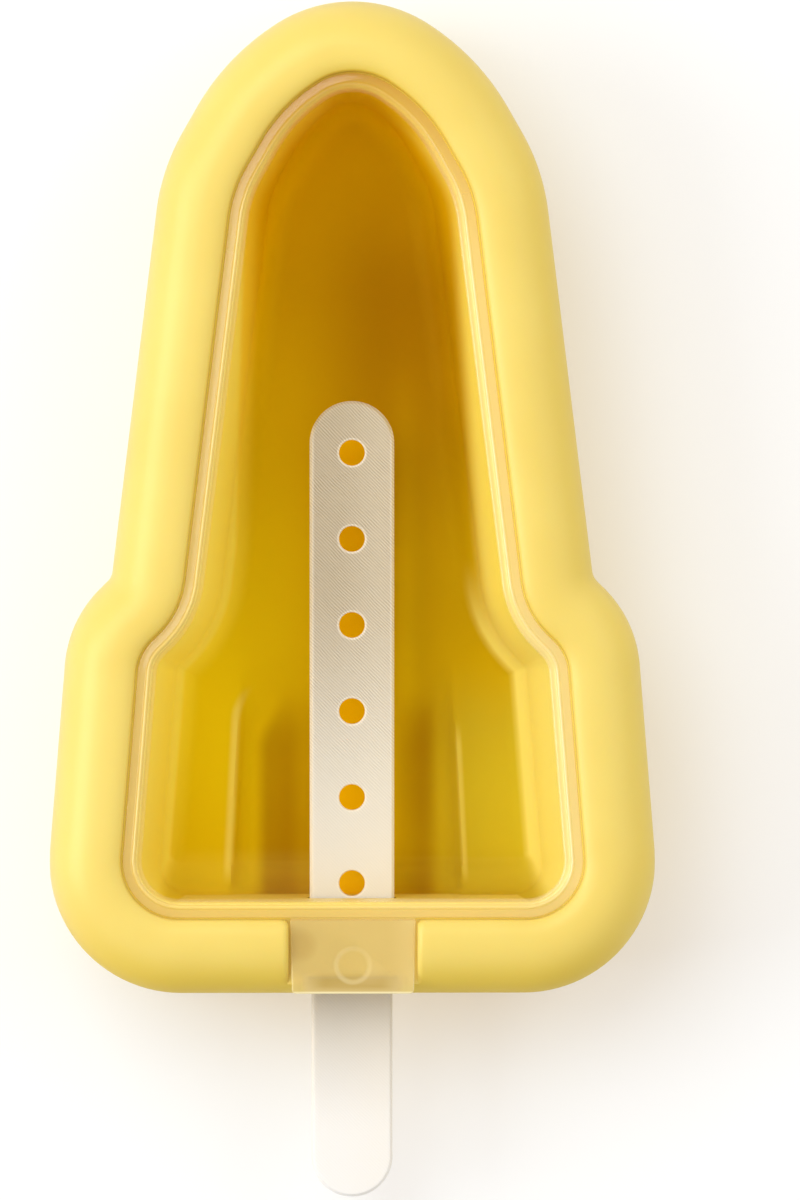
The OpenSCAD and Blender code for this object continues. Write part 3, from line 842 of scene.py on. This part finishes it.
class Finish:
    """One material, built node by node."""

    def __init__(self, name):
        self.material = bpy.data.materials.new(name)
        self.material.use_nodes = True
        self.tree = self.material.node_tree
        self.tree.nodes.clear()

    def node(self, kind, settings=None, inputs=None, output=0):
        """Adds a node, changes its settings and fills its sockets."""
        made = self.tree.nodes.new("ShaderNode" + kind)
        for name, value in (settings or {}).items():
            setattr(made, name, value)
        for name, value in (inputs or {}).items():
            self.fill(made.inputs[name], value)
        return Value(self, made.outputs[output])

    def fill(self, socket, value):
        """Links a Value to a socket or sets a constant on it. Three numbers on a colour's socket are
        a screen colour, four are linear light."""
        if isinstance(value, Value):
            self.tree.links.new(value.socket, socket)
        elif socket.type == "RGBA" and len(value) == 3:
            socket.default_value = linear_light(value)
        else:
            socket.default_value = value

    def split(self, vector):
        """The three parts of a vector."""
        parts = self.node("SeparateXYZ", inputs={0: vector}).socket.node.outputs
        return [Value(self, part) for part in parts]

    def place(self):
        """The point's own place on the object, in metres."""
        return self.node("TexCoord", output="Object")

    def axes(self):
        """The point's x, y and z as three values, in millimetres."""
        return [part * 1000 for part in self.split(self.place())]

    def facing(self):
        """How far the surface faces to the right, to the back and up, as three values."""
        return self.split(self.node("NewGeometry", output="Normal"))

    def own(self, name):
        """A value stored on the piece's own vertices."""
        return self.node("Attribute", {"attribute_name": name}, output="Fac")

    def noise(self, scale, detail=2.0):
        """A cloud-like value about 0.5; scale is the number of clouds in a metre."""
        return self.node("TexNoise", {}, {"Vector": self.place(), "Scale": scale, "Detail": detail})

    def mix(self, factor, a, b):
        """Colour a at factor 0, colour b at factor 1."""
        made = self.tree.nodes.new("ShaderNodeMix")
        made.data_type = "RGBA"
        for name, value in (("Factor", factor), ("A", a), ("B", b)):
            self.fill([s for s in made.inputs if s.name == name and s.enabled][0], value)
        return Value(self, [s for s in made.outputs if s.enabled][0])

    def layers(self, base, *over):
        """The base colour under others, each given as a pair: its share and the colour."""
        for share, tint in over:
            base = self.mix(share, base, tint)
        return base

    def bump(self, height, strength):
        """A surface direction tilted as if height, times 20 micrometres, stood on the surface."""
        inputs = {"Strength": strength, "Distance": 0.02 * MM, "Height": height}
        return self.node("Bump", inputs=inputs, output="Normal")

    def dress(self, piece, shader):
        """Ends the material with the shader and makes it the piece's only material."""
        end = self.tree.nodes.new("ShaderNodeOutputMaterial")
        self.tree.links.new(shader.socket, end.inputs["Surface"])
        piece.data.materials.clear()
        piece.data.materials.append(self.material)
        print(piece.name, "wears", self.material.name, "with", len(self.tree.nodes), "nodes")


def linear_light(screen):
    """A colour as it looks on a screen, 0 to 255, turned into the linear light that shaders use."""
    share = np.array(screen) / 255
    linear = np.where(share <= 0.04045, share / 12.92, ((share + 0.055) / 1.055) ** 2.4)
    return (*linear.tolist(), 1.0)


# %% [markdown]
# ## Silicone
#
# Silicone rubber is satin and lets light seep through. Light that bounces between the walls of the hollow
# loses its blue with every bounce, so the hollow looks amber; this light and shade is painted into the
# hollow's colour from values stored on its vertices, and the skin is painted darker where it faces away
# from the light. The finish has a clear yellow, some light scattered under the surface, a soft sheen, and
# the very fine grain of a pressing mould.

# %% Silicone finish
# The painted highlight along the pocket's edge runs straight to here and then turns into the arch.
LINE_TURN, ARCH_RADIUS = 28.0, 8.0      # where the line round the pocket turns into its arch


def pocket_highlight(x, y, z):
    """Share of the painted highlight along the pocket's edge: 1 less the distance from two straights
    that turn into a rounded arch, faded out up the walls, at the front, and over the arch."""
    right = x.between(-5, 5)
    beyond = y - (LINE_TURN - MIDDLE)
    beside = abs(x + POCKET_SHIFT) - POCKET_HALF - POCKET_FLARE * (FLARE_FROM - MIDDLE - y)
    outside = (beside + ARCH_RADIUS).at_least(0.0).distance(beyond.at_least(0.0)) - ARCH_RADIUS - 0.1
    line = abs(outside).between(1.0 - 0.3 * right, 0.05) * (beyond + 5.0 * right).between(5.5, 1.0)
    return line * y.between(4 - MIDDLE, 8 - MIDDLE) * z.between(9, 8) * (0.5 - 0.1 * right)


def dress_in_silicone(piece):
    """Yellow skin outside, painted darker where it faces away from the light; walls inside painted paler for
    the light that seeps through them; and a floor painted between dark amber shade and full light, with a
    painted highlight along the pocket and painted light under the stick.
    """
    finish = Finish("silicone")
    x, y, z = finish.axes()
    cloud = finish.noise(45.0, 3.0)
    grain = finish.noise(2600.0)
    hollow = finish.own("hollow")
    to_right, to_back, _ = finish.facing()
    sheen = (0.75 - 0.35 * to_right) * (0.15 + 0.85 * to_back.between(-0.8, -0.1))
    # Painted shade: the skin turns darker where it faces the front or the right, away from the light.
    away = to_back.between(-0.2, -1.0).at_least(0.35 * to_right.between(0.2, 0.9))
    skin = finish.layers((234, 206, 102), (cloud.between(0.3, 0.7), (237, 211, 109)), (away, (230, 198, 72)))
    # Painted light: the hollow's walls are paler than the skin, for the light that seeps through them; their
    # tone also changes with height and from left to right.
    low_side = finish.mix(x.between(5, 20), (254, 229, 84), (248, 228, 116))
    high_side = finish.mix(x.between(20, 27), (251, 227, 98), (246, 229, 120))
    wall = finish.mix(hollow, skin, finish.mix(z.between(8, 24), low_side, high_side))
    # Painted light and shade of the floor: dark amber where little light comes, up to the lit colour by the
    # stored glow, which is more orange towards the nose and yellower at the right fin; a painted highlight
    # along the pocket's edge and painted light on the strip under the milky stick.
    right_fin = x.between(8, 18) * y.between(-22, -34)
    lit = finish.layers((255, 224, 12), (y.between(-25, 50), (240, 191, 0)), (right_fin, (236, 220, 52)))
    floor = finish.layers((160, 105, 0), (finish.own("glow"), lit),
                          (pocket_highlight(x, y, z) * hollow, (255, 236, 130)),
                          (finish.own("under"), (255, 198, 0)))
    finish.dress(piece, finish.node("BsdfPrincipled", {}, {
        "Base Color": finish.mix(finish.own("deep"), wall, floor),
        # Painted glow: a faint emission stands in for the light that comes straight through the left wall.
        "Emission Color": finish.mix(finish.own("seep"), (0.0, 0.0, 0.0, 1.0), (0.1, 0.085, 0.012, 1.0)),
        "Emission Strength": 1.0,
        "Roughness": 0.44 - 0.08 * hollow + 0.08 * grain,
        "IOR": 1.41,
        "Specular IOR Level": 0.3,
        "Specular Tint": (1.0, 0.75, 0.05, 1.0),
        "Coat Weight": sheen * (1 - hollow),
        "Coat Roughness": 0.4,
        "Coat IOR": 1.5,
        "Subsurface Weight": 0.15,
        "Subsurface Radius": (1.0, 0.6, 0.12),
        "Subsurface Scale": 0.002,
        "Normal": finish.bump(grain, 0.4),
    }))


dress_in_silicone(tray)

# %% [markdown]
# ## Clear plastic and frost
#
# The lid's panel is polished: most light passes straight through, and only the edge-on gloss shows
# it. Its rim and above all its tab are finely blasted in the mould, so they look milky. One shader
# does both: a see-through part and a milky part, mixed by where on the lid the point lies.

# %% Lid finish
def dress_in_clear_plastic(piece):
    """A see-through shader and a milky one, mixed by a share that each form of the lid adds to; the milky
    part carries painted highlights and painted shade in its colour.
    """
    finish = Finish("lid_plastic")
    x, y, z = finish.axes()
    side = abs(x)
    inset = finish.own("inward")
    _, _, up = finish.facing()
    front = CORNERS[0, 1] - MIDDLE
    on_tab = y.between(front + 0.05, front - 0.25)
    off_tab = 1 - on_tab
    upper = z.between(LID_TOP - 0.5, LID_TOP - 0.05)
    right = x.between(-12, 12) * (0.35 + 0.65 * y.between(front + 1, front + 6))
    nose = y.between(30, 62)
    # The rim's milk, thinner inside the ridge on the left; the painted highlight on its ridge; and the
    # painted line along its outer edge, shade on the left and light on the right
    inner = inset.between(RIDGE + 0.3, RIDGE + 0.8)
    on_rim = upper * off_tab * (0.42 - 0.2 * inner * (1 - 0.8 * right) * (1 - nose)) * (1 - 0.1 * nose)
    ridge_highlight = upper * off_tab * abs(inset - RIDGE).between(0.3, 0.1)
    edge = up.between(0.8, 0.4) * z.between(LID_TOP - 0.9, LID_TOP - 0.5) * off_tab
    edge = edge * inset.between(1.1, 0.8)
    # Painted highlights along the tab's outline and round the dimple, and painted shade on the strip over
    # the slot's recess, darkest over its opening
    tab_edge = (side - 0.03 * y).between(TAB_HALF + 1.55, TAB_HALF + 1.9)
    tab_front = y.between(TAB_END - MIDDLE + 0.45, TAB_END - MIDDLE + 0.1)
    reach = x.distance(y - (DIMPLE_Y - MIDDLE)) - DIMPLE_RADIUS
    ring = reach.between(-0.9, -0.4) * reach.between(0.2, -0.2) * (0.27 - 0.14 * x.between(-2, 2))
    tab_highlight = tab_edge.at_least(tab_front).at_least(ring)
    recess = front - RIM_WIDTH + RECESS - 0.6
    slot_shade = y.between(recess + 1.0, recess - 0.5) * side.between(7.6, 6.4)
    recess_shade = slot_shade * y.between(recess - 2.1, recess - 1.1) * side.between(6.8, 3.8)
    on_top = z.between(TAB_TOP - 0.7, TAB_TOP - 0.2) * on_tab
    milky = (0.0005 + on_rim + (0.09 + 0.05 * right) * ridge_highlight * (1 - nose) + 0.2 * edge
             + on_top * (0.52 + 0.36 * tab_highlight + (0.43 - 0.36 * tab_highlight) * slot_shade))
    # Colours of the rim, painted lighter on the right and darker as shade over the nose, with the ridge's
    # painted highlight;
    # of the frosted tab, lighter on its right, with a darker patch on its left, painted shade over the
    # slot's recess and painted highlights on its lines; and of the outer edge, painted shade on the left and
    # light on the right
    highlight_tint = finish.mix(right, (255, 222, 140), (252, 228, 172))
    rim = finish.layers((236, 198, 124), (right, (255, 226, 168)), (nose, (196, 112, 24)),
                        (ridge_highlight * (1 - 0.8 * nose), highlight_tint))
    beside, before = x + 7.5, y - (front - 3.6)
    dark_patch = 0.7 * (beside * beside + before * before).between(8.0, 0.5)
    frosted = finish.layers((226, 198, 120), (x.between(4.5, 9), (240, 214, 140)), (dark_patch, (206, 172, 92)),
                            (slot_shade, (206, 178, 106)), (recess_shade, (187, 155, 68)), (tab_highlight, (252, 238, 184)))
    edge_shade_and_light = finish.mix(right, (200, 150, 60), (255, 225, 150))
    body = finish.node("BsdfPrincipled", {}, {
        "Base Color": finish.mix(edge, finish.mix(on_tab, rim, frosted), edge_shade_and_light),
        "Roughness": 0.2 + 0.25 * on_tab,
        "IOR": 1.46,
        "Normal": finish.bump(finish.noise(3000.0), 0.4),
    })
    clear = finish.node("BsdfTransparent", {}, {"Color": (1.0, 0.997, 0.985, 1.0)})
    shine = finish.node("BsdfGlossy", {}, {
        "Color": (1.0, 1.0, 1.0, 1.0),
        "Roughness": 0.12 + 0.3 * on_tab,
    })
    slant = finish.node("LayerWeight", {}, {"Blend": 0.5}, output="Facing")
    gloss = (0.03 * upper + 0.4 * slant * slant * slant * slant) * up.between(0.5, 0.9)
    veiled = finish.node("MixShader", {}, {0: milky, 1: clear, 2: body})
    finish.dress(piece, finish.node("MixShader", {}, {0: gloss, 1: veiled, 2: shine}))


dress_in_clear_plastic(lid)

# %% [markdown]
# ## Milky stick plastic
#
# The stick's plastic is unpigmented: whitish and slightly see-through. Its faces are covered with
# very fine slanting tool marks that run from upper left to lower right and fade along the blade. The
# marks are painted as lighter and darker stripes, and the light and shade that fall on the stick are
# painted into its colour.

# %% Stick finish
MARK_PITCH = 0.5


def dress_in_milky_plastic(piece):
    """A whitish plastic whose slanting marks are a sine wave across the blade, bent by a little noise and
    painted as lighter and darker stripes, with painted light and shade along it.
    """
    finish = Finish("stick_plastic")
    x, y, _ = finish.axes()
    marks = x.maths("SINE", (x + y + finish.noise(260.0, 1.0) * 0.5) * (2 * np.pi / MARK_PITCH))
    patches = finish.noise(400.0, 3.0).between(0.35, 0.7)
    tip_y = TIP - MIDDLE
    depth = marks * (0.12 + 0.88 * y.between(tip_y - 66, tip_y - 42)) * (0.5 + 0.5 * patches)
    from_hole = y.maths("WRAP", tip_y - FIRST_HOLE - y, HOLE_PITCH / 2, -HOLE_PITCH / 2)
    reach = x.distance(from_hole) - HOLE_RADIUS
    ring = reach.between(0.4, 0.05) * y.between(-MIDDLE, 2 - MIDDLE)
    border = 0.5 * abs(x).between(BLADE_WIDTH / 2 - 0.75, BLADE_WIDTH / 2 - 0.35)
    # Painted light and shade: darker in the tray's shadow just in front of it, paler towards the handle's
    # end, darker tan towards the tip inside the hollow, paler on the right, and painted highlights round the
    # holes and along the bevels.
    painted_shading = finish.layers((238, 233, 226),
                          (y.between(-MIDDLE - 9, -MIDDLE - 11), (226, 220, 210)),
                          (y.between(-MIDDLE - 14, -MIDDLE - 32), (255, 253, 251)),
                          (y.between(tip_y - 66, tip_y - 24), (190, 172, 144)),
                          (0.22 * x.between(-3, 5), (255, 244, 226)),
                          (ring.at_least(border), (252, 243, 232)))
    # The marks' relief is painted too: a lighter and a darker copy of the colour, mixed by the marks.
    light = finish.mix(0.3, painted_shading, (255, 250, 240))
    dark = finish.mix(0.28, painted_shading, (92, 78, 52))
    finish.dress(piece, finish.node("BsdfPrincipled", {}, {
        "Base Color": finish.mix(0.5 + 0.5 * depth, light, dark),
        "Roughness": 0.38 + 0.06 * marks,
        "IOR": 1.46,
        "Subsurface Weight": 0.3,
        "Subsurface Radius": (1.0, 0.95, 0.85),
        "Subsurface Scale": 0.0015,
        "Normal": finish.bump(depth, 0.8),
    }))


dress_in_milky_plastic(stick)

# %% [markdown]
# ## The ground
#
# The photograph has a white background on which the mold leaves only a faint warm shadow. So the
# ground is a plain pale surface whose own glow, seen by the camera alone, lifts it to white, while the
# part of it that takes light still shows the shadow.

# %% Ground
GROUND_HALF, GROUND_LEVEL = 1600.0, -0.02


def add_ground():
    """A big square just below the tray, plain for all rays but those that come from the camera."""
    loop = GROUND_HALF * np.array([[1, -1], [1, 1], [-1, 1], [-1, -1]]) + [0, MIDDLE]
    ground = add_object(fill_mesh("floor", level(loop, GROUND_LEVEL), [np.array([[0, 1, 2, 3]])]))
    if ground.data.polygons[0].normal.z < 0:
        ground.data.flip_normals()
    finish = Finish("white_floor")
    seen = finish.node("LightPath", output="Is Camera Ray")
    seen = seen.at_least(Value(finish, seen.socket.node.outputs["Is Transmission Ray"]))
    plain = finish.node("BsdfDiffuse", {}, {"Color": (0.8, 0.79, 0.77, 1.0)})
    # The lit part is bluish and the glow warm, so they add up to white in the open and leave a warm shadow:
    # a painted warm tint for light that comes through the yellow silicone.
    lit = finish.node("BsdfDiffuse", {}, {"Color": (0.56, 0.675, 0.77, 1.0)})
    glow = finish.node("Emission", {}, {"Color": (0.41, 0.285, 0.19, 1.0), "Strength": 1.0})
    white = finish.node("AddShader", {}, {0: lit, 1: glow})
    finish.dress(ground, finish.node("MixShader", {}, {0: seen, 1: plain, 2: white}))


add_ground()

# %% [markdown]
# ## Light
#
# The photograph's light is soft and comes from the upper left, with a fainter sheen on the right.
# Large lamps close by make such soft shadows, and an even pale world fills in from all around.

# %% Lamps and world
LAMP_AIM, LAMP_TINT = Vector((0, 0, 0.02)), (1.0, 0.99, 0.97)


def add_lamp(name, place, size, watts):
    """A square soft lamp at place, turned to face the tray. Sizes are in metres."""
    data = bpy.data.lights.new(name, "AREA")
    data.shape = "SQUARE"
    data.size = size
    data.energy = watts
    data.color = LAMP_TINT
    lamp = add_object(data)
    lamp.location = place
    lamp.rotation_euler = (Vector(place) - LAMP_AIM).to_track_quat("Z", "Y").to_euler()
    print("lamp:", name, "with", watts, "watts")


add_lamp("key", (-0.45, 0.5, 1.1), 0.8, 5.8)
add_lamp("left", (-1.0, 0.05, 0.62), 0.7, 6.4)
add_lamp("right", (1.1, 0.4, 0.75), 1.3, 5.2)

world = bpy.data.worlds.new("studio")
scene.world = world
world.use_nodes = True
background = world.node_tree.nodes["Background"]
background.inputs["Color"].default_value = (1.0, 0.99, 0.975, 1.0)
background.inputs["Strength"].default_value = 0.58
scene.view_settings.view_transform = "Standard"

# %% [markdown]
# ## The end

# The visual model must fill the same box as the CAD part.

# %% End
print("scene built")
